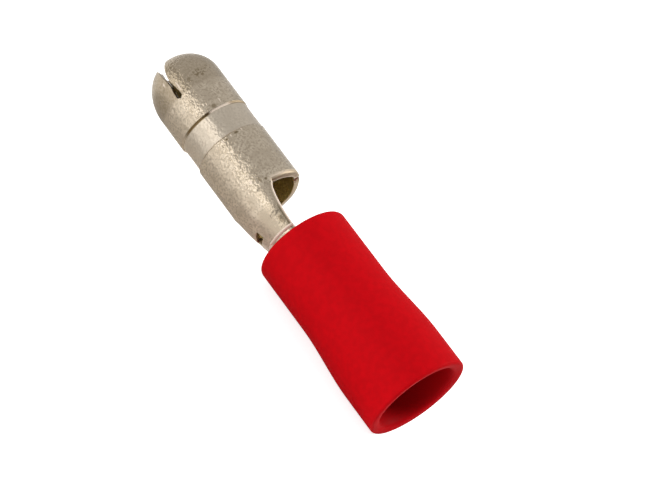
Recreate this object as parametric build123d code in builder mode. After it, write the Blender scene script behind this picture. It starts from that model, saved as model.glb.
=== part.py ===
from build123d import *
import os
from math import asin, cos, degrees, radians, sin

os.makedirs("parts", exist_ok=True)

# An insulated male round crimp terminal lies on its side. Its axis runs along X, with the nose
# towards -X and the wire mouth towards +X. Sizes are in millimetres and degrees. Places along
# the axis are counted from the tip of the nose, and angles round it from the seam of the sheet.

# How far the seam is turned from +Y towards +Z as the terminal lies. The neck strip, opposite,
# is the heavy side and lies low
seam_turn = 52

# Sheet
sheet_thickness = 0.35
seam_gap = 0.04

# Bullet. The petal that holds the seam is fuller than the one on the side of the neck strip
bullet_radius = 2.0
bullet_length = 9.3
seam_petal_nose = 1.7
seam_petal_hole = 0.3
strip_petal_nose = 2.3
strip_petal_hole = 0.85
groove_front = 4.5
groove_length = 1.65
groove_edge_depth = 0.08
groove_middle_depth = 0.1
groove_front_ramp = 0.06
groove_rear_ramp = 0.1

# Corners of the seam. At the bullet's rim one is cut back further round than the other
rim_corner_length = 0.22
rim_corner_reaches = (0.45, 0.19)
barrel_corner_length = 0.3
barrel_corner_reaches = (0.3, 0.3)

# Slit through the nose: wide at the tip, pinched, and ending in a round root. Its angle is
# that of its mouth's middle, and the other side of the nose is slit opposite
slit_angle = 118
slit_seam_side = 0.27
slit_strip_side = 0.55
slit_seam_slope = 0.3
slit_strip_slope = 0.5
slit_neck_width = 0.09
slit_neck_at = 1.8
slit_root_radius = 0.15
slit_root_at = 2.76

# Open neck between the bullet and the sleeve
neck_length = 3.05
neck_taper_length = 2.1
neck_start_slope = 0.3
neck_end_radius = 1.56
neck_corner_rise = 0.45
neck_side_drop = 0.18
neck_lowest_at = 1.85
neck_end_slope = 2.0
barrel_corner_rise = 0.35
step_before_sleeve = 0.5
step_ramp = 0.03

# Pierced window across the middle of the neck strip, with a pressed bar behind it
window_length = 0.4
window_width = 1.04
window_corner_radius = 0.12
bar_length = 0.55

# Crimp barrel
barrel_radius = 1.48
barrel_length = 4.6
barrel_inset = 0.25

# PVC sleeve
sleeve_length = 10.05
sleeve_front_radius = 2.5
sleeve_rear_radius = 2.775
sleeve_front_rounding = 0.2
sleeve_rear_rounding = 0.14
front_land = 3.75
rear_land = 2.2
wire_bore_radius = 2.09
funnel_length = 1.0
lip_radius = 2.5
lip_dish = 0.12

# Clearances
barrel_to_sleeve = 0.01
barrel_to_shoulder = 0.02

# Places and radii that follow from the sizes
groove_rear = groove_front + groove_length
sleeve_front = bullet_length + neck_length
sleeve_rear = sleeve_front + sleeve_length
barrel_front = sleeve_front + barrel_inset
barrel_rear = barrel_front + barrel_length
step_at = sleeve_front - step_before_sleeve
window_middle = step_at - bar_length - window_length / 2
shoulder_at = barrel_rear + barrel_to_shoulder
seat_radius = barrel_radius + barrel_to_sleeve
barrel_bore_radius = barrel_radius - sheet_thickness
cut_reach = 2 * bullet_radius
bar_half_angle = degrees(asin(window_width / 2 / neck_end_radius))

# The origin is in the middle of the terminal's length, on the line that the sleeve lies on
tip = Vector(-sleeve_rear / 2, 0, sleeve_rear_radius)
forward = Vector(1, 0, 0)
centre_line = Axis(tip, forward)


def outward(angle):
    """Direction away from the centre line, at an angle from the seam."""
    turned = radians(seam_turn + angle)
    return Vector(0, cos(turned), sin(turned))


def section_plane(angle):
    """Plane that holds the centre line: x runs along it from the tip, y outward."""
    return Plane(origin=tip, x_dir=forward, z_dir=forward.cross(outward(angle)))


def facing_plane(angle):
    """Plane through the centre line that looks outward: x runs along it from the tip, y towards the seam."""
    return Plane(origin=tip, x_dir=forward, z_dir=outward(angle))


def sheet_face(inset, nose, hole):
    """One face of the rolled sheet in section, from the hole in the nose to the barrel's end."""
    bullet = bullet_radius - inset
    neck = neck_end_radius - inset
    barrel = barrel_radius - inset
    dome_angle = 90 - degrees(asin(hole / bullet))
    dome = EllipticalCenterArc((nose, 0), nose - inset, bullet, 90, arc_size=dome_angle)
    floor_front = (groove_front + groove_front_ramp, bullet - groove_edge_depth)
    floor_middle = ((groove_front + groove_rear) / 2, bullet - groove_middle_depth)
    floor_rear = (groove_rear - groove_rear_ramp, bullet - groove_edge_depth)
    Polyline((nose, bullet), (groove_front, bullet), floor_front)
    ThreePointArc(floor_front, floor_middle, floor_rear)
    Polyline(floor_rear, (groove_rear, bullet), (bullet_length, bullet))
    taper_end = bullet_length + neck_taper_length
    Spline((bullet_length, bullet), (taper_end, neck), tangents=((1, -neck_start_slope), (1, 0)))
    Polyline((taper_end, neck), (step_at, neck), (step_at + step_ramp, barrel), (barrel_rear, barrel))
    return dome @ 1, Vector(barrel_rear, barrel)


def seam_corners(edge, side, length, reaches):
    """Rounds the sheet's two corners where the seam meets a cut edge; side is 1 where the edge faces +X."""
    with BuildSketch(facing_plane(0)) as corners:
        for sign, reach in zip((1, -1), reaches):
            with Locations((edge - side * length / 2, sign * (seam_gap + reach) / 2)):
                Rectangle(length, reach)
        for sign, reach in zip((1, -1), reaches):
            with Locations((edge - side * length, sign * (seam_gap / 2 + reach))):
                Ellipse(length, reach, mode=Mode.SUBTRACT)
    return corners.sketch


with BuildPart() as terminal_body:
    # The strip is rolled round the centre line, one half for each petal
    petals = (
        (slit_angle - 180, seam_petal_nose, seam_petal_hole),
        (slit_angle, strip_petal_nose, strip_petal_hole),
    )
    for start, nose, hole in petals:
        with BuildSketch(section_plane(start)) as sheet_section:
            with BuildLine():
                outer_tip, outer_end = sheet_face(0, nose, hole)
                inner_tip, inner_end = sheet_face(sheet_thickness, nose, hole)
                Line(outer_tip, inner_tip)
                Line(outer_end, inner_end)
            make_face()
        revolve(axis=centre_line, revolution_arc=180)

    # Open side of the neck, from the bullet's rear rim to the barrel's front edge
    with BuildSketch(section_plane(0)) as neck_opening:
        with BuildLine():
            falling_and_rising = ((1, -neck_end_slope), (1, 0), (1, neck_end_slope))
            rim_corner = (bullet_length, neck_corner_rise)
            lowest = (bullet_length + neck_lowest_at, -neck_side_drop)
            barrel_corner = (barrel_front, barrel_corner_rise)
            Spline(rim_corner, lowest, barrel_corner, tangents=falling_and_rising)
            Polyline(barrel_corner, (barrel_front, cut_reach), (bullet_length, cut_reach), rim_corner)
        make_face()
    extrude(amount=cut_reach, both=True, mode=Mode.SUBTRACT)

    # Butt seam, rounded where it meets the rim and the barrel's two edges
    with BuildSketch(facing_plane(0)) as seam:
        with Locations((barrel_rear / 2, 0)):
            Rectangle(barrel_rear, seam_gap)
    extrude(amount=cut_reach, mode=Mode.SUBTRACT)
    rim_corners = seam_corners(bullet_length, 1, rim_corner_length, rim_corner_reaches)
    extrude(rim_corners, amount=cut_reach, mode=Mode.SUBTRACT)
    for edge, side in ((barrel_front, -1), (barrel_rear, 1)):
        barrel_corners = seam_corners(edge, side, barrel_corner_length, barrel_corner_reaches)
        extrude(barrel_corners, amount=cut_reach, mode=Mode.SUBTRACT)

    # Slit that splits the nose
    with BuildSketch(facing_plane(slit_angle)) as slit:
        with BuildLine():
            half_neck = slit_neck_width / 2
            Spline((0, slit_seam_side), (slit_neck_at, half_neck), tangents=((1, -slit_seam_slope), (1, 0)))
            Line((slit_neck_at, half_neck), (slit_root_at, slit_root_radius))
            Line((slit_root_at, slit_root_radius), (slit_root_at, -slit_root_radius))
            Line((slit_root_at, -slit_root_radius), (slit_neck_at, -half_neck))
            Spline(
                (slit_neck_at, -half_neck),
                (0, -slit_strip_side),
                tangents=((-1, 0), (-1, -slit_strip_slope)),
            )
            Line((0, -slit_strip_side), (0, slit_seam_side))
        make_face()
        with Locations((slit_root_at, 0)):
            Circle(slit_root_radius)
    extrude(amount=cut_reach, both=True, mode=Mode.SUBTRACT)

    # Window across the middle of the strip, and the bar pressed in behind it
    with BuildSketch(facing_plane(180)) as window:
        with Locations((window_middle, 0)):
            RectangleRounded(window_length, window_width, window_corner_radius)
    extrude(amount=cut_reach, mode=Mode.SUBTRACT)
    with BuildSketch(section_plane(180 - bar_half_angle)) as bar:
        with Locations((step_at + step_ramp, barrel_radius)):
            Rectangle(bar_length + step_ramp, bullet_radius - barrel_radius, align=(Align.MAX, Align.MIN))
    revolve(axis=centre_line, revolution_arc=2 * bar_half_angle, mode=Mode.SUBTRACT)

terminal_body.part.label = "terminal_body"
export_step(terminal_body.part, "parts/terminal_body.step")


with BuildPart() as insulating_sleeve:
    with BuildSketch(section_plane(0)) as wall:
        with BuildLine():
            flare_from = (sleeve_front + front_land, sleeve_front_radius)
            flare_to = (sleeve_rear - rear_land, sleeve_rear_radius)
            Polyline((sleeve_front, seat_radius), (sleeve_front, sleeve_front_radius), flare_from)
            Spline(flare_from, flare_to, tangents=((1, 0), (1, 0)))
            Polyline(
                flare_to,
                (sleeve_rear, sleeve_rear_radius),
                (sleeve_rear, lip_radius),
                (sleeve_rear - lip_dish, wire_bore_radius),
                (shoulder_at + funnel_length, wire_bore_radius),
                (shoulder_at, barrel_bore_radius),
                (shoulder_at, seat_radius),
                (sleeve_front, seat_radius),
            )
        make_face()
        front_corner = wall.vertices().group_by(Axis.X)[0].sort_by(Axis.Y)[-1]
        fillet(front_corner, sleeve_front_rounding)
        rear_corner = wall.vertices().group_by(Axis.X)[-1].sort_by(Axis.Y)[-1]
        fillet(rear_corner, sleeve_rear_rounding)
    revolve(axis=centre_line)

insulating_sleeve.part.label = "insulating_sleeve"
export_step(insulating_sleeve.part, "parts/insulating_sleeve.step")
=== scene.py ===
"""An insulated male round crimp terminal: a bullet of rolled, tinned brass in a red PVC sleeve."""
import math

import bpy
import numpy as np
from mathutils import Matrix, Vector


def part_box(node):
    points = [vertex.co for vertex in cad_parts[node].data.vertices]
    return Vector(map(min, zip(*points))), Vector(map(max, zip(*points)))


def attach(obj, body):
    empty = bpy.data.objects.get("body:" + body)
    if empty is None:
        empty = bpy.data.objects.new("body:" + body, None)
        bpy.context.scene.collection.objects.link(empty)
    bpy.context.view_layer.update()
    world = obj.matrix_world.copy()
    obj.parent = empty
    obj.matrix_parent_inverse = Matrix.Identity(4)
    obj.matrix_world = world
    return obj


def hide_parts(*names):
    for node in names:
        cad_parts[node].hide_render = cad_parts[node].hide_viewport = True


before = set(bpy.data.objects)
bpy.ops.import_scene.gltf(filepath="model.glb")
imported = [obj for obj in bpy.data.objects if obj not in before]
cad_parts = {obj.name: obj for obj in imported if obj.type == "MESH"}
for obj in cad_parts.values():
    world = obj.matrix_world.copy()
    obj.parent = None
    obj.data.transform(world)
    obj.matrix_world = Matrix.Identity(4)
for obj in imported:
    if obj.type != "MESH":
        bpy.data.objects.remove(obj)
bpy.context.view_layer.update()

MM = 0.001

# In millimetres: places closer than SAME are one place, points closer than JOINED are joined, and
# FAR_OFF stands for no edge nearby
SAME = 1e-6
FAR_OFF = 9.0
JOINED = 0.002

# Photograph
IMAGE_WIDTH = 650
FOCAL_PIXELS = 2391
SENSOR_WIDTH = 36.0

# The terminal lies on its side. Places along it are counted from the tip of the nose and angles
# from the seam of the sheet, in millimetres and degrees
SEAM_TURN = 52
MOUTH_PLANE = 22.4
SLEEVE_LOW, SLEEVE_HIGH = (Vector(corner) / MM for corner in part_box("insulating_sleeve"))
AXIS_HEIGHT = (SLEEVE_LOW.z + SLEEVE_HIGH.z) / 2
TIP_X = SLEEVE_HIGH.x - MOUTH_PLANE

# Rolled sheet. A petal's nose is where its dome starts, its reach the dome's length and its hole
# the radius of the opening in the tip
SHEET = 0.35
BULLET = 2.0
RIM = 9.3
BARREL_FRONT = 12.6
BARREL_REAR = 17.2
SEAM_PETAL = {"nose": 1.9, "reach": 1.77, "hole": 0.3}
STRIP_PETAL = {"nose": 2.5, "reach": 2.4, "hole": 0.85}
SEAM_HALF_GAP = 0.02
SEAM_CORNER = 0.22
SEAM_CORNER_REACH = (0.19, 0.45)

# Slit through the nose: half-widths on the seam's petal, and on the other one near and far
SLIT_ANGLE = 118
SLIT_ROOT = 2.76
SLIT_ROOT_RADIUS = 0.15
SLIT_END = SLIT_ROOT + SLIT_ROOT_RADIUS
SLIT_PLACES = (0.14, 0.31, 0.36, 0.45, 0.58, 0.74, 1.07, 1.31, 1.87, 2.1, 2.5, 2.76)
SLIT_WIDTHS = (
    (0.5, 0.3, 0.275, 0.24, 0.21, 0.18, 0.12, 0.085, 0.045, 0.07, 0.135, 0.15),
    (0.88, 0.78, 0.62, 0.46, 0.36, 0.3, 0.225, 0.185, 0.08, 0.07, 0.135, 0.15),
    (0.88, 0.82, 0.79, 0.7, 0.58, 0.46, 0.26, 0.16, 0.06, 0.07, 0.135, 0.15),
)

# Locking groove, rolled less deep at the seam and to its full depth between two angles
GROOVE_PLACES = (4.5, 4.56, 4.8, 5.3, 5.8, 6.05, 6.15)
GROOVE_DEPTHS = (0, 0.08, 0.09, 0.1, 0.09, 0.08, 0)
GROOVE_SHARE_AT_SEAM = 0.4
GROOVE_DEEPENS = (10, 90)

# Neck: its outer radius, and the height of its cut edges above the centre line, towards the seam
NECK_PLACES = (9.3, 9.52, 9.9, 10.44, 10.75, 11.0, 11.3, 11.85)
NECK_RADII = (2.0, 1.96, 1.915, 1.85, 1.8, 1.735, 1.675, 1.57)
CUT_PLACES = (
    9.3, 9.4, 9.6, 9.8, 10.05, 10.3, 10.55, 10.8, 11.05, 11.3, 11.6, 11.85, 12.1, 12.35, 12.6,
)
CUT_HEIGHTS = (
    0.3, 0.25, 0.16, 0.09, 0.03, -0.02, -0.055, -0.075, -0.09, -0.1, -0.105, -0.095, -0.06, 0.03,
    0.2,
)

# Window across the neck's strip, and the step behind it. The step runs across the neck and along
# the sides of the bar, falls between two distances from its line, and has a bead before it
WINDOW_MIDDLE = 11.05
WINDOW_HALF_LENGTH = 0.2
WINDOW_HALF_WIDTH = 0.62
WINDOW_CORNER = 0.07
WINDOW_FRONT = WINDOW_MIDDLE - WINDOW_HALF_LENGTH
WINDOW_REAR = WINDOW_MIDDLE + WINDOW_HALF_LENGTH
WINDOW_STRAIGHT = WINDOW_HALF_LENGTH - WINDOW_CORNER
WINDOW_STRAIGHT_ACROSS = WINDOW_HALF_WIDTH - WINDOW_CORNER
BAR_FRONT = WINDOW_REAR - 0.02
BAR_RADIUS = 1.56
STEP = 11.85
STEP_CORNER = 0.12
STEP_DROP = 0.05
STEP_FALLS = (-0.06, 0.02)
STEP_BEAD = 0.02
STEP_BEAD_AT = 0.05
STEP_BEAD_WIDTH = 0.03

# A point within SLIT_SIDE degrees of a slit lies on its side of the nose. The profile at
# PROFILE_ANGLE, with the groove's full depth and no window, gives the normals. A width counts only
# up to WIDEST of the radius
SLIT_SIDE = 89
PROFILE_ANGLE = 100.0
WIDEST = 0.98

# Rounding of the cut edges. The rim and the neck's edges are rolled over further, and the rim
# reaches further back on its open side
EDGE_ROUNDING = 0.045
RIM_ROLL = 0.12
NECK_ROLL = 0.06
RIM_REACH = 0.12

# Where those edges lie: places along the sheet, angles from the seam, and angles from the middle
# of the neck's strip, each from nothing to full
RIM_ALONG = (8.9, 9.0)
RIM_FROM_SEAM = (4, 14)
RIM_FROM_NECK = (92, 80)
NECK_ALONG = (RIM, 9.5)
NECK_EDGE_END = 12.3
NECK_FROM_STRIP = (50, 65)
REACH_RISES = (8.8, RIM)
REACH_FALLS = (RIM, 9.8)
REACH_FROM_STRIP = (88, 100)
REACH_FROM_SEAM = (176, 135)

# Wear, painted highlight and painted shade along those edges. Distances from the edge are
# shares of its rounding: the middle and the width of a line, or where a mark fades from full to
# nothing
RIM_HIGHLIGHT_LINE = (0.8, 0.22)
RIM_HIGHLIGHT_STRENGTH = 0.7
RIM_HIGHLIGHT_FROM_SEAM = (40, 72)
RIM_SHADE_ENDS = (1.1, 0.8)
RIM_SHADE_STRENGTH = 0.65
NECK_HIGHLIGHT_ENDS = (0.5, 1)
UNDER_LINE = (1.6, 0.6)
UNDER_LINE_FAINT = 0.5
UNDER_LINE_ALONG = (10.9, 10.4)
ROLLED_ENDS = (1, 1.4)
SHADE_STRENGTH = 0.85

# Spacing of the sheet's points beside an edge, in millimetres, and beside the hole in the nose,
# in radians
BESIDE_EDGE_ALONG = (0.008, 0.018, 0.03, 0.045, 0.07)
BESIDE_EDGE_ACROSS = (0.006, 0.014, 0.024, 0.036, 0.05)
BESIDE_BAR = (0.08, 0.1, 0.11, 0.12, 0.13, 0.145, 0.17, 0.21)
BESIDE_HOLE = (0.003, 0.007, 0.012, 0.018, 0.026)

# Sleeve. The mouth's edge is bell-shaped, and a funnel leads from the wire's bore to the barrel's
SLEEVE_FRONT = 12.29
SLEEVE_REAR = 22.399
SLEEVE_FRONT_RADIUS = 2.5
SLEEVE_REAR_RADIUS = 2.772
FRONT_ROUNDING = 0.28
REAR_ROUNDING = 0.14
SEAT_ROUNDING = 0.05
FLARE = (16.1, 20.2)
SEAT = 1.49
SHOULDER = ((17.22, 1.13), (17.22, 1.47), (17.2, SEAT))
MOUTH_BELL = (
    (SLEEVE_REAR, 2.6), (22.396, 2.53), (22.385, 2.44), (22.36, 2.34), (22.32, 2.26),
    (22.25, 2.19), (22.12, 2.13), (21.9, 2.1), (21.6, 2.09),
)
WIRE_BORE = 2.09
FUNNEL = ((18.25, 2.08), (18.15, 2.0), (17.7, 1.6), (17.3, 1.21))
SLEEVE_SEGMENTS = 160

# Colours of the metal and of the sleeve
PLATING = "#E8D8C1"
ROLLED_PLATING = "#E8DAC6"
# Tarnish, with the painted shade on the nose, the neck's front, the creases, under the neck's
# edges and on the rim's roll
TARNISH_AND_SHADE = "#7E6A48"
# Worn metal with the painted highlights along the rim, the neck's edges, the step and the groove's
# front crease, and lighter marks
WORN_AND_HIGHLIGHT = "#F6E4D2"
SHEARED = "#B3A085"
BARE_BRASS = "#BDAA74"
RED = "#C50B14"
CLOUDED_RED = "#CF0B15"
# Painted shade inside the bore
BORE_SHADE_RED = "#AC080F"

# Patterns, in repeats per millimetre: grains 0.14 mm across, speckles 0.11 mm, blotches 0.6 mm,
# and the PVC's clouds 0.33 mm. The tin's real grain is finer than the picture shows, so it is
# drawn as coarse as it needs to show
GRAINS = 7.0
GRAIN_DEPTH = 0.048
SPECKLES = 9.0
BLOTCHES = 1.6
CLOUDS = 3.0

# How strong the grain is on the groove's floor, the neck and the smooth edges, and where along
# the sheet it fades to the neck's
GRAIN_ON_FLOOR = 0.65
GRAIN_ON_NECK = 0.4
GRAIN_ON_EDGES = 0.1
NECK_GRAIN_FADES = (9.1, 9.7)

# Roughness and metal of the plating, and of its other finishes
PLATING_ROUGHNESS = 0.25
FLOOR_ROUGHNESS = 0.3
WORN_AND_HIGHLIGHT_ROUGHNESS = 0.5
DULL_ROUGHNESS = 0.6
INNER_METAL = 0.4
WORN_AND_HIGHLIGHT_METAL = 0.2
PVC_ROUGHNESS = 0.55
PVC_SPECULAR = 0.02

# Radii between which the bore's painted shade, a darker red, gives way to the outer red
BORE_SHADE_REACHES = (2.12, 2.35)

# Tarnish and painted shade on the nose's upper and lower half, painted shade on the neck's front
# and in the groove's rear crease, and how much of it the groove's floor keeps. The nose's fades
# out between two places along the sheet
NOSE_TARNISH_AND_SHADE = (0.45, 0.56)
NOSE_TARNISH_AND_SHADE_ENDS = (2.75, 3.1)
NECK_PAINTED_SHADE = 0.36
REAR_CREASE_PAINTED_SHADE = 0.25
FLOOR_TARNISH_AND_SHADE = 0.45

# Angle from the seam of the direction in which heights are counted from the centre line. The
# bright band's upper edge lies just above it
BAND_EDGE_ANGLE = 14.2

# Where the finish changes along the sheet: from nothing to full, and back to nothing. The front
# crease and the step carry painted highlights; the front shade, the rear crease and the neck carry
# painted shade
SHEET_SPANS = {
    "groove": (4.55, 4.65, 6.05, 6.12),
    "front crease": (4.49, 4.53, 4.56, 4.62),
    "front shade": (4.46, 4.51, 4.58, 4.66),
    "rear crease": (6.05, 6.09, 6.11, 6.15),
    "neck": (10.1, 10.6, 11.7, 11.75),
    "step": (11.72, 11.77, 11.86, 11.91),
}

# Where it changes with height: two heights, and how strong it is at each. These put painted shade
# on the nose's lower half, the neck's front and the groove's front crease, and keep the crease's
# painted highlight off the lower half and the top
HEIGHT_SPANS = {
    "lower half": (0.1, 0.45, 1, 0),
    "neck's front": (-1.15, -0.75, 0.15, 1),
    "low shade": (-1.7, -1.1, 0.15, 1),
    "top shade": (1.0, 1.45, 0, 0.85),
    "under the top": (1.15, 1.5, 1, 0.1),
}

# Marks on the plating: place, angle, radius, half-lengths along and across, and how strong. A mark
# is full over MARK_CORE of its half-lengths
MARK_CORE = 0.3
SMUDGES = (
    ((2.3, 72, 2.0, 0.45, 0.8), 0.85),
    ((2.45, 92, 2.0, 0.35, 0.45), 0.7),
    ((2.15, 55, 2.0, 0.4, 0.5), 0.7),
)
TARNISH_MARKS = (
    ((1.22, 103, 1.9, 0.12, 0.12), 1.0),
    ((4.36, 86, 2.0, 0.2, 0.22), 0.7),
    ((6.23, 83, 2.0, 0.1, 0.2), 0.9),
    ((6.29, 100.6, 2.0, 0.09, 0.16), 0.9),
    ((9.08, 97, 2.0, 0.3, 0.12), 0.6),
    ((9.2, 89, 2.0, 0.12, 0.12), 0.8),
    ((8.9, 104, 2.0, 0.2, 0.1), 0.5),
    ((11.3, 106, 1.68, 0.5, 0.26), 0.65),
)
BRIGHT_MARKS = (
    ((4.2, 73, 2.0, 0.2, 0.05), 0.6),
    ((6.17, 73, 2.0, 0.14, 0.06), 0.6),
    ((6.25, 92, 2.0, 0.14, 0.06), 0.6),
    ((6.29, 107, 2.0, 0.12, 0.06), 0.6),
    ((8.92, 110, 2.0, 0.15, 0.1), 0.6),
    ((10.0, 108, 1.82, 0.22, 0.06), 0.9),
    ((2.35, 110, 2.0, 0.38, 0.06), 0.8),
    ((1.6, 128.5, 1.9, 0.4, 0.07), 0.9),
)

# Shader nodes and their settings
MATH = "ShaderNodeMath"
VECTOR = "ShaderNodeVectorMath"
MAP = "ShaderNodeMapRange"
MIX = "ShaderNodeMix"
NOISE = "ShaderNodeTexNoise"
SUBTRACT = {"operation": "SUBTRACT"}
MULTIPLY = {"operation": "MULTIPLY"}
LARGER = {"operation": "MAXIMUM"}
SMOOTH = {"interpolation_type": "SMOOTHSTEP"}
COLOURS = {"data_type": "RGBA"}

# Camera, in millimetres and in the frame whose seam faces +Y
CAMERA_AT = (41.959, -26.599, 111.626)
CAMERA_BACK = (0.3363, -0.2310, 0.9130)
CAMERA_UP = (-0.7525, 0.5170, 0.4080)
CAMERA_CLIP_START = 1 * MM
CAMERA_CLIP_END = 5.0

# Light, in metres and watts
ROOM_GREY = 0.54
ROOM_FAR_END = 0.38
ROOM_DARKENS = (-0.1, 0.6)
KEY_LAMP = {"size": (0.22, 0.22), "at": (0.22, 0.44, 0.6), "aim": (0, 0, 0), "power": 3.7}
FRONT_LAMP = {
    "size": (1.2, 0.35), "at": (-0.45, -1.0, 0.18), "aim": (-0.45, 0, 0.15), "power": 1.36,
}
FILL_LAMP = {"size": (0.7, 0.7), "at": (-0.25, -0.95, 0.4), "aim": (0, 0, 0), "power": 3.6}

# Floor
FLOOR_HALF_SIZE = 1.5
PAPER_GREY = 0.9
FLOOR_SEEN_GLOW = 0.78
FLOOR_GLOSS_GLOW = 0.06


def linear(colour):
    """sRGB hex to linear RGBA."""
    values = [int(colour[i:i + 2], 16) / 255 for i in (1, 3, 5)]
    return [v / 12.92 if v <= 0.04045 else ((v + 0.055) / 1.055) ** 2.4 for v in values] + [1.0]


def add_node(tree, kind, settings=None, inputs=(), output=0):
    """Adds a node with its settings and inputs, which are values or links, and gives an output."""
    node = tree.nodes.new(kind)
    for name, value in (settings or {}).items():
        setattr(node, name, value)
    for key, value in inputs.items() if isinstance(inputs, dict) else enumerate(inputs):
        if isinstance(value, bpy.types.NodeSocket):
            tree.links.new(value, node.inputs[key])
        else:
            node.inputs[key].default_value = value
    return node.outputs[output]


def new_material(name):
    """A new material, its node tree and its shader."""
    material = bpy.data.materials.new(name)
    material.use_nodes = True
    tree = material.node_tree
    return material, tree, tree.nodes["Principled BSDF"]


def spot(tree, point, mark):
    """One where a mark lies on the sheet, fading to nothing at its edge.

    A mark is the place, angle and radius of its middle, and its half-lengths along and across
    the terminal, in millimetres.
    """
    x, angle, radius, along, across = mark
    middle = place(x, angle, radius) / MM
    offset = add_node(tree, VECTOR, SUBTRACT, (point, middle))
    shrunk = add_node(tree, VECTOR, MULTIPLY, (offset, (1 / along, 1 / across, 1 / across)))
    distance = add_node(tree, VECTOR, {"operation": "LENGTH"}, (shrunk,), "Value")
    return add_node(tree, MAP, SMOOTH, (distance, MARK_CORE, 1, 1, 0))


def brass_tarnish_and_shade(tree, point, x, spans, heights):
    """How tarnished and shaded the plating is: the largest of its patterns, its smudges and marks,
    and painted shade.

    The nose has tarnish and painted shade, uneven and darker on its lower half, the neck painted
    shade on its front, and the groove's floor keeps only a share.
    """
    speckle = add_node(tree, NOISE, None, {"Vector": point, "Scale": SPECKLES, "Detail": 2.0})
    blotch = add_node(tree, NOISE, None, {"Vector": point, "Scale": BLOTCHES, "Detail": 4.0})
    uneven = add_node(tree, MAP, SMOOTH, (speckle, 0.3, 0.7, 0.75, 1.15))
    broken = add_node(tree, MAP, SMOOTH, (speckle, 0.38, 0.6, 0.4, 1))
    # Tarnish and painted shade on the nose, darker on its lower half
    nose = add_node(tree, MAP, SMOOTH, (x, *NOSE_TARNISH_AND_SHADE_ENDS, 1, 0))
    nose_shade_by_height = add_node(tree, MAP, SMOOTH, (heights["lower half"], 0, 1, *NOSE_TARNISH_AND_SHADE))
    nose = add_node(tree, MATH, MULTIPLY, (nose, nose_shade_by_height))
    # Painted shade on the neck's front
    neck = add_node(tree, MATH, MULTIPLY, (spans["neck"], heights["neck's front"]))
    layers = [
        add_node(tree, MAP, SMOOTH, (speckle, 0.42, 0.62, 0, 0.4)),
        add_node(tree, MAP, SMOOTH, (blotch, 0.4, 0.65, 0, 0.25)),
        add_node(tree, MATH, MULTIPLY, (nose, uneven)),
        add_node(tree, MATH, MULTIPLY, (neck, NECK_PAINTED_SHADE)),
    ]
    for mark, strength in SMUDGES:
        smudge = add_node(tree, MATH, MULTIPLY, (broken, strength))
        layers.append(add_node(tree, MATH, MULTIPLY, (spot(tree, point, mark), smudge)))
    for mark, strength in TARNISH_MARKS:
        layers.append(add_node(tree, MATH, MULTIPLY, (spot(tree, point, mark), strength)))
    tarnish_and_shade = layers[0]
    for layer in layers[1:]:
        tarnish_and_shade = add_node(tree, MATH, LARGER, (tarnish_and_shade, layer))
    # The groove's floor keeps only a share of the tarnish and painted shade
    kept = add_node(tree, MAP, SMOOTH, (spans["groove"], 0, 1, 1, FLOOR_TARNISH_AND_SHADE))
    return add_node(tree, MATH, MULTIPLY, (tarnish_and_shade, kept))


def brass_glint(tree, point, spans, heights):
    """How bright the plating is: a painted highlight along the groove's front crease, and lighter
    marks.
    """
    upper = add_node(tree, MATH, SUBTRACT, (1.0, heights["lower half"]))
    glint = add_node(tree, MATH, MULTIPLY, (spans["front crease"], upper))
    glint = add_node(tree, MATH, MULTIPLY, (glint, heights["under the top"]))
    for mark, strength in BRIGHT_MARKS:
        shine = add_node(tree, MATH, MULTIPLY, (spot(tree, point, mark), strength))
        glint = add_node(tree, MATH, LARGER, (glint, shine))
    return glint


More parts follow.
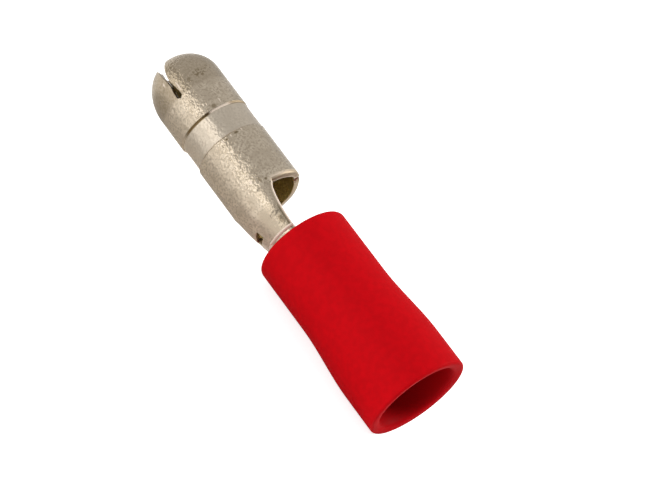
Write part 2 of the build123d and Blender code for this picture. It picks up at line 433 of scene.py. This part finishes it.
def tinned_brass():
    """Bright tin plate over rolled brass sheet.

    The plating is grainy and mottled, with tarnish on the nose, smooth and lighter on the
    groove's rolled floor, and dark in the groove's creases and under the neck's cut edges. The
    rolled-over edges are smooth and worn bright, the sheared edges show duller metal, and inside
    the bullet the brass shows through.
    """
    material, tree, shader = new_material("tin_plated_brass")
    metres = add_node(tree, "ShaderNodeTexCoord", output="Object")
    point = add_node(tree, VECTOR, {"operation": "SCALE"}, {0: metres, 3: 1 / MM})
    along = add_node(tree, "ShaderNodeSeparateXYZ", inputs=(point,))
    x = add_node(tree, MATH, SUBTRACT, (along, TIP_X))
    tilt = math.radians(SEAM_TURN + BAND_EDGE_ANGLE)
    facing = (0, math.cos(tilt), math.sin(tilt))
    height = add_node(tree, VECTOR, {"operation": "DOT_PRODUCT"}, (point, facing), "Value")
    height = add_node(tree, MATH, SUBTRACT, (height, AXIS_HEIGHT * math.sin(tilt)))
    spans = {}
    for name, (start, full, waning, end) in SHEET_SPANS.items():
        rising = add_node(tree, MAP, SMOOTH, (x, start, full, 0, 1))
        falling = add_node(tree, MAP, SMOOTH, (x, waning, end, 1, 0))
        spans[name] = add_node(tree, MATH, MULTIPLY, (rising, falling))
    heights = {}
    for name, span in HEIGHT_SPANS.items():
        heights[name] = add_node(tree, MAP, SMOOTH, (height, *span))
    inner, sheared, edge, shaded, rolled = (
        add_node(tree, "ShaderNodeAttribute", {"attribute_name": name}, output="Fac")
        for name in ("inner_face", "sheared_edge", "worn_and_highlight_edge", "shaded_edge", "rolled_edge")
    )

    # Tarnish together with painted shade: on the nose, the neck's front, the groove's creases,
    # under the neck's edges and on the rim's roll
    tarnish_and_shade = brass_tarnish_and_shade(tree, point, x, spans, heights)
    # Painted shade in the groove's front crease: on its lower half, and on the top where it dims
    # the crease's glint
    low_crease_shade = add_node(tree, MATH, MULTIPLY, (spans["front shade"], heights["lower half"]))
    low_crease_shade = add_node(tree, MATH, MULTIPLY, (low_crease_shade, heights["low shade"]))
    top_crease_shade = add_node(tree, MATH, MULTIPLY, (spans["front shade"], heights["top shade"]))
    # Painted shade in the groove's rear crease
    rear_crease_shade = add_node(tree, MATH, MULTIPLY, (spans["rear crease"], REAR_CREASE_PAINTED_SHADE))
    for crease in (low_crease_shade, rear_crease_shade, top_crease_shade, shaded):
        tarnish_and_shade = add_node(tree, MATH, LARGER, (tarnish_and_shade, crease))
    # Wear and painted highlights: along the rim and the neck's edges, on the step and along the
    # groove's front crease
    worn_and_highlight = add_node(tree, MATH, LARGER, (edge, spans["step"]))
    worn_and_highlight = add_node(tree, MATH, LARGER, (worn_and_highlight, brass_glint(tree, point, spans, heights)))

    colour = linear(PLATING)
    finishes = (
        (spans["groove"], ROLLED_PLATING), (tarnish_and_shade, TARNISH_AND_SHADE), (worn_and_highlight, WORN_AND_HIGHLIGHT), (sheared, SHEARED),
        (inner, BARE_BRASS),
    )
    for amount, finish in finishes:
        colour = add_node(tree, MIX, COLOURS, {0: amount, 6: colour, 7: linear(finish)}, 2)
    tree.links.new(colour, shader.inputs["Base Color"])

    inside = add_node(tree, MAP, SMOOTH, (inner, 0, 1, 1, INNER_METAL))
    highlight_metal_share = add_node(tree, MAP, SMOOTH, (worn_and_highlight, 0, 1, 1, WORN_AND_HIGHLIGHT_METAL))
    metallic = add_node(tree, MATH, MULTIPLY, (inside, highlight_metal_share))
    tree.links.new(metallic, shader.inputs["Metallic"])

    dull = add_node(tree, MATH, LARGER, (rolled, top_crease_shade))
    roughness = add_node(tree, MAP, SMOOTH, (worn_and_highlight, 0, 1, PLATING_ROUGHNESS, WORN_AND_HIGHLIGHT_ROUGHNESS))
    finishes = ((spans["groove"], 1, FLOOR_ROUGHNESS), (dull, 0.8, DULL_ROUGHNESS))
    for amount, full, rough in finishes:
        rougher = add_node(tree, MAP, SMOOTH, (amount, 0, full, PLATING_ROUGHNESS, rough))
        roughness = add_node(tree, MATH, LARGER, (roughness, rougher))
    tree.links.new(roughness, shader.inputs["Roughness"])

    grain = {"Vector": point, "Scale": GRAINS, "Detail": 1.2, "Roughness": 0.5}
    smooth = add_node(tree, MATH, LARGER, (rolled, spans["front shade"]))
    smooth = add_node(tree, MATH, LARGER, (smooth, worn_and_highlight))
    strength = add_node(tree, MAP, SMOOTH, (spans["groove"], 0, 1, 1, GRAIN_ON_FLOOR))
    weakened = ((x, *NECK_GRAIN_FADES, GRAIN_ON_NECK), (smooth, 0, 0.6, GRAIN_ON_EDGES))
    for amount, start, full, share in weakened:
        weaker = add_node(tree, MAP, SMOOTH, (amount, start, full, 1, share))
        strength = add_node(tree, MATH, MULTIPLY, (strength, weaker))
    relief = {
        "Height": add_node(tree, NOISE, None, grain), "Strength": strength,
        "Distance": GRAIN_DEPTH * MM,
    }
    tree.links.new(add_node(tree, "ShaderNodeBump", None, relief), shader.inputs["Normal"])
    return material


def red_pvc():
    """Moulded soft PVC: deep saturated red, satin and faintly clouded, with painted shade in the
    bore.
    """
    material, tree, shader = new_material("moulded_red_pvc")
    metres = add_node(tree, "ShaderNodeTexCoord", output="Object")
    cloud = add_node(tree, NOISE, None, {"Vector": metres, "Scale": CLOUDS / MM, "Detail": 3.0})
    from_axis = add_node(tree, VECTOR, SUBTRACT, (metres, (0, 0, AXIS_HEIGHT * MM)))
    from_axis = add_node(tree, VECTOR, MULTIPLY, (from_axis, (0, 1 / MM, 1 / MM)))
    radius = add_node(tree, VECTOR, {"operation": "LENGTH"}, (from_axis,), "Value")
    colour = linear(RED)
    # Faint clouds, and painted shade darkening the bore
    finishes = (((cloud, 0.3, 0.7, 0, 1), CLOUDED_RED), ((radius, *BORE_SHADE_REACHES, 1, 0), BORE_SHADE_RED))
    for span, finish in finishes:
        amount = add_node(tree, MAP, SMOOTH, span)
        colour = add_node(tree, MIX, COLOURS, {0: amount, 6: colour, 7: linear(finish)}, 2)
    tree.links.new(colour, shader.inputs["Base Color"])
    shader.inputs["Roughness"].default_value = PVC_ROUGHNESS
    shader.inputs["Specular IOR Level"].default_value = PVC_SPECULAR
    return material


def place(x, angle, radius):
    """Points at a place from the tip, an angle from the seam and a radius from the centre line."""
    turned = np.radians(np.asarray(angle) + SEAM_TURN)
    x, turned, radius = np.broadcast_arrays(x, turned, radius)
    across, up = radius * np.cos(turned), radius * np.sin(turned)
    return np.stack((TIP_X + x, across, AXIS_HEIGHT + up), axis=-1) * MM


def curve_through(x, places, values):
    """Smooth curve through measured values: a cubic Hermite with finite-difference slopes."""
    places, values = np.array(places, float), np.array(values, float)
    slopes = np.gradient(values, places)
    x = np.clip(x, places[0], places[-1])
    i = np.clip(np.searchsorted(places, x, side="right") - 1, 0, len(places) - 2)
    span = places[i + 1] - places[i]
    t = (x - places[i]) / span
    return (
        values[i] * (1 + 2 * t) * (1 - t) ** 2
        + slopes[i] * span * t * (1 - t) ** 2
        + values[i + 1] * t ** 2 * (3 - 2 * t)
        + slopes[i + 1] * span * t ** 2 * (t - 1)
    )


def smooth_step(x, start, end):
    """From 0 at the start to 1 at the end, level at both; the start may be the larger."""
    t = np.clip((x - start) / (end - start), 0, 1)
    return t * t * (3 - 2 * t)


def ridge(value, middle, width):
    """One where a value is at the middle, falling to nothing on both sides as a bell curve."""
    return np.exp(-((value - middle) / width) ** 2)


def spaced(start, end, count, fine_start=(), fine_end=()):
    """Places from start to end, with extra ones close to either end."""
    near_start, near_end = start + np.append(0, fine_start), end - np.append(0, fine_end)
    middle = np.linspace(start, end, count)
    middle = middle[(middle > near_start.max() + SAME) & (middle < near_end.min() - SAME)]
    return np.unique(np.concatenate((near_start, middle, near_end)))


def slit_sides(x):
    """Half-widths of the nose's slit on the seam's petal, and on the other one near and far.

    A V narrows from the tip to a pinch and opens to a round-ended drop.
    """
    root = np.sqrt(np.clip(SLIT_ROOT_RADIUS ** 2 - (x - SLIT_ROOT) ** 2, 0, None))
    sides = (curve_through(x, SLIT_PLACES, widths) for widths in SLIT_WIDTHS)
    return [np.where(x > SLIT_ROOT, root, side) for side in sides]


def seam_half_gap(x, reach):
    """Half the seam's gap: nearly closed, with its corner rounded off at the bullet's rim."""
    ahead = np.clip(x - (RIM - SEAM_CORNER), 0, SEAM_CORNER) / SEAM_CORNER
    rounding = reach * (1 - np.sqrt(1 - ahead ** 2))
    return SEAM_HALF_GAP + np.where(x <= RIM, rounding, 0)


def window_half_width(x):
    """Half-width of the window, with round corners, and outside it the width where they start."""
    into_corner = np.clip(np.abs(x - WINDOW_MIDDLE) - WINDOW_STRAIGHT, 0, WINDOW_CORNER)
    return WINDOW_STRAIGHT_ACROSS + np.sqrt(WINDOW_CORNER ** 2 - into_corner ** 2)


def wrapped(angle):
    """The same angle, from -180 to 180."""
    return (angle + 180) % 360 - 180


def sheet_radius(x, angle):
    """Outer radius of the sheet behind the nose.

    The bullet is a cylinder with a shallow dished groove, shallower at the seam. The neck narrows
    to the barrel, and steps down just before the sleeve and along a bar pressed in behind the
    window.
    """
    deepening = smooth_step(np.abs(wrapped(angle)), *GROOVE_DEEPENS)
    share = GROOVE_SHARE_AT_SEAM + (1 - GROOVE_SHARE_AT_SEAM) * deepening
    groove = np.interp(x, GROOVE_PLACES, GROOVE_DEPTHS) * share
    neck = curve_through(x, NECK_PLACES, NECK_RADII)
    beside_bar = BAR_RADIUS * np.radians(np.abs(angle - 180)) - WINDOW_HALF_WIDTH
    from_bar = np.where(x > BAR_FRONT, beside_bar, FAR_OFF)
    into_step, into_bar = (np.clip(STEP_CORNER - d, 0, None) for d in (STEP - x, from_bar))
    away = STEP_CORNER - np.hypot(into_step, into_bar)
    drop = STEP_DROP * (1 - smooth_step(away, *STEP_FALLS))
    bead = STEP_BEAD * ridge(away, STEP_BEAD_AT, STEP_BEAD_WIDTH)
    return np.where(x <= RIM, BULLET - groove, neck - drop + bead)


def angle_across(width, radius):
    """Angle from a plane through the centre line at which the sheet is a width away from it."""
    return np.degrees(np.arcsin(np.clip(width / radius, -WIDEST, WIDEST)))


def edge_angle(x, radius):
    """Angle from the seam of the neck's cut edge."""
    return 90 - angle_across(curve_through(x, CUT_PLACES, CUT_HEIGHTS), radius)


def from_seam_edge(x, angle, radius):
    """Distance round the sheet to the seam, which the bullet and the barrel have."""
    turned = wrapped(angle)
    reach = np.where(turned > 0, *SEAM_CORNER_REACH)
    distance = radius * np.radians(np.abs(turned)) - seam_half_gap(x, reach)
    return np.where((x > RIM + SAME) & (x < BARREL_FRONT - SAME), FAR_OFF, distance)


def from_slit_edge(x, angle, radius):
    """Distance across the sheet to the nearer side of either slit, or to its round root."""
    seam_side, near_side, far_side = slit_sides(x)
    slit = np.full_like(x, FAR_OFF)
    sides = ((SLIT_ANGLE, 1, near_side), (SLIT_ANGLE - 180, -1, far_side))
    for centre, sign, strip_side in sides:
        turned = wrapped(angle - centre)
        across = radius * np.sin(np.radians(turned)) * sign
        beside = np.where(across < 0, -across - seam_side, across - strip_side)
        beyond = np.hypot(across, np.clip(x - SLIT_ROOT, 0, None)) - SLIT_ROOT_RADIUS
        distance = np.where(x < SLIT_ROOT, beside, beyond)
        slit = np.where(np.abs(turned) < SLIT_SIDE, np.minimum(slit, distance), slit)
    return slit


def from_neck_edge(x, around, radius):
    """Distance to the edge of the neck's opening: round the neck, or along from its two ends."""
    beside_rim, beside_barrel = (
        np.clip(radius * np.radians(around - edge_angle(np.full_like(x, end), radius)), 0, None)
        for end in (RIM, BARREL_FRONT)
    )
    beside = radius * np.radians(around - edge_angle(x, radius))
    neck = np.where(x <= RIM, np.hypot(RIM - x, beside_rim), beside)
    return np.where(x >= BARREL_FRONT, np.hypot(x - BARREL_FRONT, beside_barrel), neck)


def from_window_edge(x, around, radius):
    """Distance to the window's edge: a rectangle with round corners."""
    across = np.where(around > 90, radius * np.sin(np.radians(180 - around)), FAR_OFF)
    past_x = np.abs(x - WINDOW_MIDDLE) - WINDOW_STRAIGHT
    past_side = across - WINDOW_STRAIGHT_ACROSS
    outside = np.hypot(np.clip(past_x, 0, None), np.clip(past_side, 0, None))
    return outside + np.minimum(np.maximum(past_x, past_side), 0) - WINDOW_CORNER


def nearest_edge(x, angle, radius):
    """Distance along the sheet to its nearest cut edge, of seam, slit, neck, window or barrel."""
    around = np.abs(wrapped(angle))
    nearest = np.minimum.reduce((
        from_seam_edge(x, angle, radius), from_slit_edge(x, angle, radius),
        from_neck_edge(x, around, radius), from_window_edge(x, around, radius), BARREL_REAR - x,
    ))
    return np.clip(nearest, 0, None)


def sheet_rows(petal):
    """Places along the sheet for a petal's strips, closer together at edges, groove and step."""
    quarter, half = np.linspace(0, 90, 7), np.linspace(-90, 90, 15)
    edge = BESIDE_EDGE_ALONG
    bullet = np.concatenate((
        np.linspace(petal["nose"], SLIT_ROOT, 10)[1:-1],
        SLIT_ROOT + SLIT_ROOT_RADIUS * np.sin(np.radians(quarter)),
        np.linspace(3.0, 4.4, 12), (4.45, 4.48, 4.5, 4.515, 4.53, 4.545, 4.56, 4.58, 4.62),
        np.linspace(4.7, 5.95, 12), (6.0, 6.03, 6.05, 6.075, 6.1, 6.125, 6.15, 6.17, 6.2),
        np.linspace(6.3, RIM - SEAM_CORNER, 24),
    ))
    rim = spaced(RIM - SEAM_CORNER, RIM, 6, fine_end=edge)[1:]
    neck = spaced(RIM, WINDOW_FRONT, 18, fine_end=edge)[1:]
    window = WINDOW_MIDDLE + WINDOW_HALF_LENGTH * np.sin(np.radians(half))[1:]
    bar = spaced(WINDOW_REAR, 11.7, 6, fine_start=edge)[1:]
    step = np.linspace(11.73, 11.9, 18)
    hidden = spaced(11.95, BARREL_FRONT, 6)
    barrel = spaced(BARREL_FRONT, BARREL_REAR, 12, fine_start=edge, fine_end=edge)[1:]
    return np.concatenate((bullet, rim, neck, window, bar, step, hidden, barrel))


def sheet_lines(x, radius, across):
    """The angles of the ten lines, from nose to barrel, that bound the sheet's strips.

    Line 0 and line 9 are the two sides of the seam, 1 and 6 the neck's cut edges, 2 and 3 the
    near slit's sides, 4 and 5 the window's sides, and 7 and 8 the far slit's sides. A line with no
    edge of its own in the nose keeps its share of the way between the edges beside it.
    """
    line_radius = np.where(x <= RIM, across, radius)
    up, low, far = (
        angle_across(np.where(x < SLIT_END, width, 0), radius) for width in slit_sides(x)
    )
    near_up, near_low = SLIT_ANGLE - up, SLIT_ANGLE + low
    far_low, far_up = SLIT_ANGLE + 180 - far, SLIT_ANGLE + 180 + up
    seam = angle_across(SEAM_HALF_GAP, across)
    seam_low, seam_high = (
        angle_across(seam_half_gap(x, reach), radius) for reach in SEAM_CORNER_REACH
    )
    cut = edge_angle(np.clip(x, RIM, BARREL_FRONT), line_radius)
    window = angle_across(window_half_width(x), line_radius)

    def share(target):
        """The angle that keeps a line's share of the way from the near slit to the far one."""
        return near_low + (target - SLIT_ANGLE) / 180 * (far_low - near_low)

    return (
        seam_low, seam + (cut - seam) * (near_up - seam) / (SLIT_ANGLE - seam), near_up, near_low,
        share(180 - window), share(180 + window), share(360 - cut), far_low, far_up,
        360 - seam_high,
    )


def edge_highlight_and_shade(x, angle, distance, rounding, rim, neck):
    """How worn and highlighted, how shaded and how smooth the sheet is along the rim and the
    neck's edges.

    The rim has painted shade on its roll, with a painted highlight line along it. The neck's edges
    have a worn, painted highlight, with a painted shade under them that is fainter near the rim.
    Both are smooth where they are rolled.
    """
    share = distance / rounding
    # Painted highlight lines along the rim and the neck's edges, partly wear
    rim_highlight = RIM_HIGHLIGHT_STRENGTH * rim * smooth_step(angle, *RIM_HIGHLIGHT_FROM_SEAM)
    neck_highlight = neck * (1 - smooth_step(share, *NECK_HIGHLIGHT_ENDS))
    worn_and_highlight = np.maximum(rim_highlight * ridge(share, *RIM_HIGHLIGHT_LINE), neck_highlight)
    under_line = neck * (1 - UNDER_LINE_FAINT * smooth_step(x, *UNDER_LINE_ALONG))
    rim_shade = RIM_SHADE_STRENGTH * rim * smooth_step(share, *RIM_SHADE_ENDS)
    shaded = np.maximum(under_line * ridge(share, *UNDER_LINE), rim_shade)
    rolled = np.maximum(rim, neck) * (1 - smooth_step(share, *ROLLED_ENDS))
    return worn_and_highlight, SHADE_STRENGTH * shaded, rolled


def sheet_face(strip, inset):
    """One face of a strip of the sheet, with its cut edges rounded over, and the edges' wear,
    painted highlight and painted shade.

    The face is a grid of points. In the nose both faces are ellipsoids about the nose's centre,
    and behind it they follow sheet_radius, less the inset. Each point then moves along the
    profile's normal by a quarter circle's drop, by its distance from the nearest cut edge, and
    the rim's open side moves back.
    """
    petal, front, rear, left, right, columns = strip
    across = BULLET - inset
    x = sheet_rows(petal)
    x = x[(x >= front - SAME) & (x <= rear + SAME)]
    radius = sheet_radius(x, np.full_like(x, PROFILE_ANGLE)) - inset
    from_hole = np.full_like(x, FAR_OFF)
    dome = 0
    if front == 0:
        sweep = spaced(math.asin(petal["hole"] / across), math.pi / 2, 20, fine_start=BESIDE_HOLE)
        dome = len(sweep)
        x = np.concatenate((petal["nose"] - (petal["reach"] - inset) * np.cos(sweep), x))
        radius = np.concatenate((across * np.sin(sweep), radius))
        from_hole = np.concatenate((across * (sweep - sweep[0]), from_hole))
    slope_x, slope_radius = np.gradient(x), np.gradient(radius)
    steepness = np.hypot(slope_x, slope_radius)
    lines = sheet_lines(x, radius, across)
    low, high = lines[left][:, None], lines[right][:, None]
    angle = low + (high - low) * columns[None, :]
    x_grid = np.repeat(x[:, None], len(columns), axis=1)
    radius_grid = sheet_radius(x_grid, angle) - inset
    radius_grid[:dome] = radius[:dome, None]
    distance = np.minimum(nearest_edge(x_grid, angle, radius_grid), from_hole[:, None])

    from_strip = np.abs(angle - 180)
    rim = smooth_step(x_grid, *RIM_ALONG) * (x_grid <= RIM + SAME)
    rim = rim * smooth_step(angle, *RIM_FROM_NECK) * smooth_step(angle, *RIM_FROM_SEAM)
    neck = smooth_step(x_grid, *NECK_ALONG) * (x_grid < NECK_EDGE_END)
    neck = neck * smooth_step(from_strip, *NECK_FROM_STRIP)
    reach = smooth_step(x_grid, *REACH_RISES) * (1 - smooth_step(x_grid, *REACH_FALLS))
    reach = reach * smooth_step(from_strip, *REACH_FROM_STRIP)
    reach = reach * smooth_step(from_strip, *REACH_FROM_SEAM)

    inward, rounding = (1, EDGE_ROUNDING) if inset == 0 else (-1, EDGE_ROUNDING / 2)
    if inset == 0:
        rounding = rounding + RIM_ROLL * rim + NECK_ROLL * neck
    wear_and_painted_light = edge_highlight_and_shade(x_grid, angle, distance, rounding, rim, neck)
    short = np.clip(rounding - distance, 0, rounding)
    drop = (rounding - np.sqrt(rounding ** 2 - short ** 2)) * inward
    x_grid = x_grid + (slope_radius / steepness)[:, None] * drop + RIM_REACH * reach
    radius_grid = radius_grid - (slope_x / steepness)[:, None] * drop
    return place(x_grid, angle, radius_grid), wear_and_painted_light


def sheet_strips():
    """The strips between neighbouring lines: petal, first and last place, lines and columns."""
    edge = np.array(BESIDE_EDGE_ACROSS)

    def columns(count, width, at_low, at_high):
        """A strip's columns: how many, its width, and whether a cut edge bounds either side."""
        return spaced(0, 1, count, edge / width if at_low else (), edge / width if at_high else ())

    before_bar = 1 - np.concatenate((edge, BESIDE_BAR))
    beside_window = np.unique(np.concatenate((columns(12, 1.0, True, False), before_bar)))
    parts = [
        (SEAM_PETAL, 0, BARREL_REAR, 1, 2, columns(14, 1.2, True, True)),
        (STRIP_PETAL, 0, BARREL_REAR, 3, 4, beside_window),
        (STRIP_PETAL, 0, BARREL_REAR, 5, 6, columns(24, 1.8, True, True)),
    ]
    for front, rear in ((0, WINDOW_FRONT), (WINDOW_REAR, BARREL_REAR)):
        parts.append((STRIP_PETAL, front, rear, 4, 5, columns(14, 1.2, True, True)))
    for front, rear in ((0, RIM), (BARREL_FRONT, BARREL_REAR)):
        parts.append((SEAM_PETAL, front, rear, 0, 1, columns(24, 2.6, True, False)))
        parts.append((STRIP_PETAL, front, rear, 6, 7, columns(8, 0.7, False, True)))
        parts.append((SEAM_PETAL, front, rear, 8, 9, columns(20, 2.1, True, True)))
    return parts


def terminal_sheet():
    """The stamped strip, rolled round the centre line: points and quads of one closed sheet.

    Each strip has the same grid on its outer and inner face. The outer points that coincide are
    joined, and every outer edge that then belongs to one quad only is a cut edge, closed by a
    quad to the inner face. The marks say which faces are inner or sheared, and how worn and
    highlighted, how shaded and how rolled the outer points are; the highlight and the shade are
    painted.
    """
    outer, inner, wear_and_painted_light, quads, count = [], [], [], [], 0
    for strip in sheet_strips():
        face, face_wear_and_light = sheet_face(strip, 0)
        rows, columns = face.shape[:2]
        index = np.arange(rows * columns).reshape(rows, columns) + count
        count += rows * columns
        outer.append(face.reshape(-1, 3))
        inner.append(sheet_face(strip, SHEET)[0].reshape(-1, 3))
        wear_and_painted_light.append(np.stack([mark.reshape(-1) for mark in face_wear_and_light]))
        corners = index[:-1, :-1], index[:-1, 1:], index[1:, 1:], index[1:, :-1]
        quads.append(np.stack(corners, axis=-1).reshape(-1, 4))
    outer, inner, quads = np.concatenate(outer), np.concatenate(inner), np.concatenate(quads)

    rounded = np.round(outer / (JOINED * MM))
    _, first, joined = np.unique(rounded, axis=0, return_index=True, return_inverse=True)
    outer, inner, quads = outer[first], inner[first], joined.reshape(-1)[quads]
    outer_wear_and_light = np.concatenate(wear_and_painted_light, axis=1)[:, first]
    wear_and_painted_light = np.concatenate((outer_wear_and_light, np.zeros_like(outer_wear_and_light)), axis=1)

    edges = np.concatenate([quads[:, [i, (i + 1) % 4]] for i in range(4)])
    key = np.sort(edges, axis=1)
    _, back, shared = np.unique(key, axis=0, return_inverse=True, return_counts=True)
    start, end = edges[shared[back.reshape(-1)] == 1].T
    walls = np.stack((end, start, start + len(outer), end + len(outer)), axis=1)
    inner_quads = quads[:, ::-1] + len(outer)

    faces = (len(quads), len(quads), len(walls))
    marks = {
        "inner_face": ("FACE", np.repeat((0.0, 1.0, 0.0), faces)),
        "sheared_edge": ("FACE", np.repeat((0.0, 0.0, 1.0), faces)),
    }
    for name, values in zip(("worn_and_highlight_edge", "shaded_edge", "rolled_edge"), wear_and_painted_light):
        marks[name] = ("POINT", values)
    return np.concatenate((outer, inner)), np.concatenate((quads, inner_quads, walls)), marks


def arc(centre, radius, start, end, count):
    """Points of an arc in the wall's section, between angles counted from +x towards outward."""
    sweep = np.radians(np.linspace(start, end, count))
    x, outward = centre[0] + radius * np.cos(sweep), centre[1] + radius * np.sin(sweep)
    return np.stack((x, outward), axis=1)


def sleeve_wall():
    """The sleeve's closed section, anticlockwise from its inner shoulder, as x and radius.

    The outside is a cylinder that flares to a wider one. The mouth's edge is bell-shaped, its
    bore runs in to a funnel, and the funnel meets the barrel's seat.
    """
    front_land, rear_land = np.linspace(12.8, 15.9, 16), np.linspace(20.4, 22.1, 9)
    flare = np.linspace(*FLARE, 30)
    widening = SLEEVE_REAR_RADIUS - SLEEVE_FRONT_RADIUS
    flared = SLEEVE_FRONT_RADIUS + widening * smooth_step(flare, *FLARE)
    seat_corner = (SLEEVE_FRONT + SEAT_ROUNDING, SEAT + SEAT_ROUNDING)
    front_corner = (SLEEVE_FRONT + FRONT_ROUNDING, SLEEVE_FRONT_RADIUS - FRONT_ROUNDING)
    rear_corner = (SLEEVE_REAR - REAR_ROUNDING, SLEEVE_REAR_RADIUS - REAR_ROUNDING)
    parts = (
        SHOULDER, [(x, SEAT) for x in (16.0, 14.5, 13.2, 12.5)],
        arc(seat_corner, SEAT_ROUNDING, 270, 180, 4),
        arc(front_corner, FRONT_ROUNDING, 180, 90, 12),
        [(x, SLEEVE_FRONT_RADIUS) for x in front_land], np.stack((flare, flared), axis=1),
        [(x, SLEEVE_REAR_RADIUS) for x in rear_land], arc(rear_corner, REAR_ROUNDING, 90, 0, 8),
        MOUTH_BELL, [(x, WIRE_BORE) for x in np.linspace(21.2, 18.4, 8)], FUNNEL,
    )
    return np.concatenate([np.array(part, float) for part in parts])


def revolved(section, segments):
    """A closed section turned round the centre line: points and quads."""
    angles = np.linspace(0, 360, segments, endpoint=False)
    points = place(section[None, :, 0], angles[:, None], section[None, :, 1])
    index = np.arange(segments * len(section)).reshape(segments, -1)
    ahead, beside = np.roll(index, -1, axis=0), np.roll(index, -1, axis=1)
    quads = np.stack((index, ahead, np.roll(ahead, -1, axis=1), beside), axis=-1)
    return points, quads.reshape(-1, 4)


def add_piece(name, points, quads, material, node, marks=None):
    """Makes a mesh of points and quads, with its marks, and puts it in place of a CAD node."""
    mesh = bpy.data.meshes.new(name)
    mesh.from_pydata(points.reshape(-1, 3).tolist(), [], quads.tolist())
    mesh.update()
    for mark, (domain, values) in (marks or {}).items():
        attribute = mesh.attributes.new(mark, "FLOAT", domain)
        attribute.data.foreach_set("value", values.astype(np.float32))
    piece = bpy.data.objects.new(name, mesh)
    bpy.context.scene.collection.objects.link(piece)
    mesh.materials.append(material)
    mesh.shade_smooth()
    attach(piece, "root")
    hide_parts(node)


def floor_paper():
    """White paper that stays white where the camera or a reflection sees it unshaded."""
    material, tree, shader = new_material("white_paper")
    shader.inputs["Base Color"].default_value = (PAPER_GREY, PAPER_GREY, PAPER_GREY, 1)
    shader.inputs["Roughness"].default_value = 1.0
    shader.inputs["Specular IOR Level"].default_value = 0.0
    shader.inputs["Emission Color"].default_value = (1, 1, 1, 1)
    seen, mirrored, through = (
        add_node(tree, "ShaderNodeLightPath", output=ray)
        for ray in ("Is Camera Ray", "Is Glossy Ray", "Is Transmission Ray")
    )
    reflected = add_node(tree, MATH, LARGER, (mirrored, through))
    glow = add_node(tree, MATH, MULTIPLY, (reflected, FLOOR_GLOSS_GLOW))
    strength = add_node(tree, MATH, {"operation": "MULTIPLY_ADD"}, (seen, FLOOR_SEEN_GLOW, glow))
    tree.links.new(strength, shader.inputs["Emission Strength"])
    return material


def set_floor():
    """A plain square of paper under the terminal."""
    size = FLOOR_HALF_SIZE
    mesh = bpy.data.meshes.new("floor")
    corners = [(-size, -size, 0), (size, -size, 0), (size, size, 0), (-size, size, 0)]
    mesh.from_pydata(corners, [], [(0, 1, 2, 3)])
    floor = bpy.data.objects.new("floor", mesh)
    bpy.context.scene.collection.objects.link(floor)
    mesh.materials.append(floor_paper())


def add_lamp(name, lamp, seen_in_gloss):
    """A flat lamp that faces its aim."""
    light = bpy.data.lights.new(name, "AREA")
    light.shape = "RECTANGLE"
    light.size, light.size_y = lamp["size"]
    light.energy = lamp["power"]
    holder = bpy.data.objects.new(name, light)
    bpy.context.scene.collection.objects.link(holder)
    holder.location = lamp["at"]
    towards = Vector(lamp["aim"]) - Vector(lamp["at"])
    holder.rotation_euler = towards.to_track_quat("-Z", "Y").to_euler()
    holder.visible_glossy = seen_in_gloss


def set_light():
    """A grey room, darker towards the mouth's end, that the camera sees as white, and three lamps.

    The key lamp stands behind and above, on the mouth's side. The front and fill lamps stand on
    the camera's side, and the fill lamp shows in no gloss.
    """
    world = bpy.data.worlds.new("room")
    bpy.context.scene.world = world
    world.use_nodes = True
    tree = world.node_tree
    background = tree.nodes["Background"]
    direction = add_node(tree, "ShaderNodeTexCoord", output="Generated")
    along = add_node(tree, "ShaderNodeSeparateXYZ", inputs=(direction,))
    greys = (ROOM_GREY, ROOM_GREY * ROOM_FAR_END)
    room = add_node(tree, MAP, SMOOTH, (along, *ROOM_DARKENS, *greys))
    seen = add_node(tree, "ShaderNodeLightPath", output="Is Camera Ray")
    strength = add_node(tree, MATH, LARGER, (room, seen))
    tree.links.new(strength, background.inputs["Strength"])
    background.inputs["Color"].default_value = (1, 1, 1, 1)
    add_lamp("key", KEY_LAMP, True)
    add_lamp("front", FRONT_LAMP, True)
    add_lamp("fill", FILL_LAMP, False)


def set_camera():
    """The photograph's camera: a pinhole fitted to the object's edges, turned with the seam."""
    turn = Matrix.Rotation(math.radians(SEAM_TURN), 3, "X")
    axis = Vector((0, 0, AXIS_HEIGHT))
    back, up = turn @ Vector(CAMERA_BACK), turn @ Vector(CAMERA_UP)
    camera = bpy.data.objects.new("camera", bpy.data.cameras.new("camera"))
    bpy.context.scene.collection.objects.link(camera)
    right = up.cross(back).normalized()
    basis = Matrix((right, back.cross(right).normalized(), back.normalized())).transposed()
    location = (turn @ (Vector(CAMERA_AT) - axis) + axis) * MM
    camera.matrix_world = Matrix.Translation(location) @ basis.to_4x4()
    camera.data.lens = FOCAL_PIXELS * SENSOR_WIDTH / IMAGE_WIDTH
    camera.data.sensor_width = SENSOR_WIDTH
    camera.data.clip_start = CAMERA_CLIP_START
    camera.data.clip_end = CAMERA_CLIP_END
    bpy.context.scene.camera = camera


sheet_points, sheet_quads, sheet_marks = terminal_sheet()
add_piece(
    "terminal_sheet", sheet_points, sheet_quads, tinned_brass(), "terminal_body",
    sheet_marks,
)
sleeve_points, sleeve_quads = revolved(sleeve_wall(), SLEEVE_SEGMENTS)
add_piece("pvc_sleeve", sleeve_points, sleeve_quads, red_pvc(), "insulating_sleeve")
set_floor()
set_light()
set_camera()
bpy.context.scene.view_settings.view_transform = "Standard"
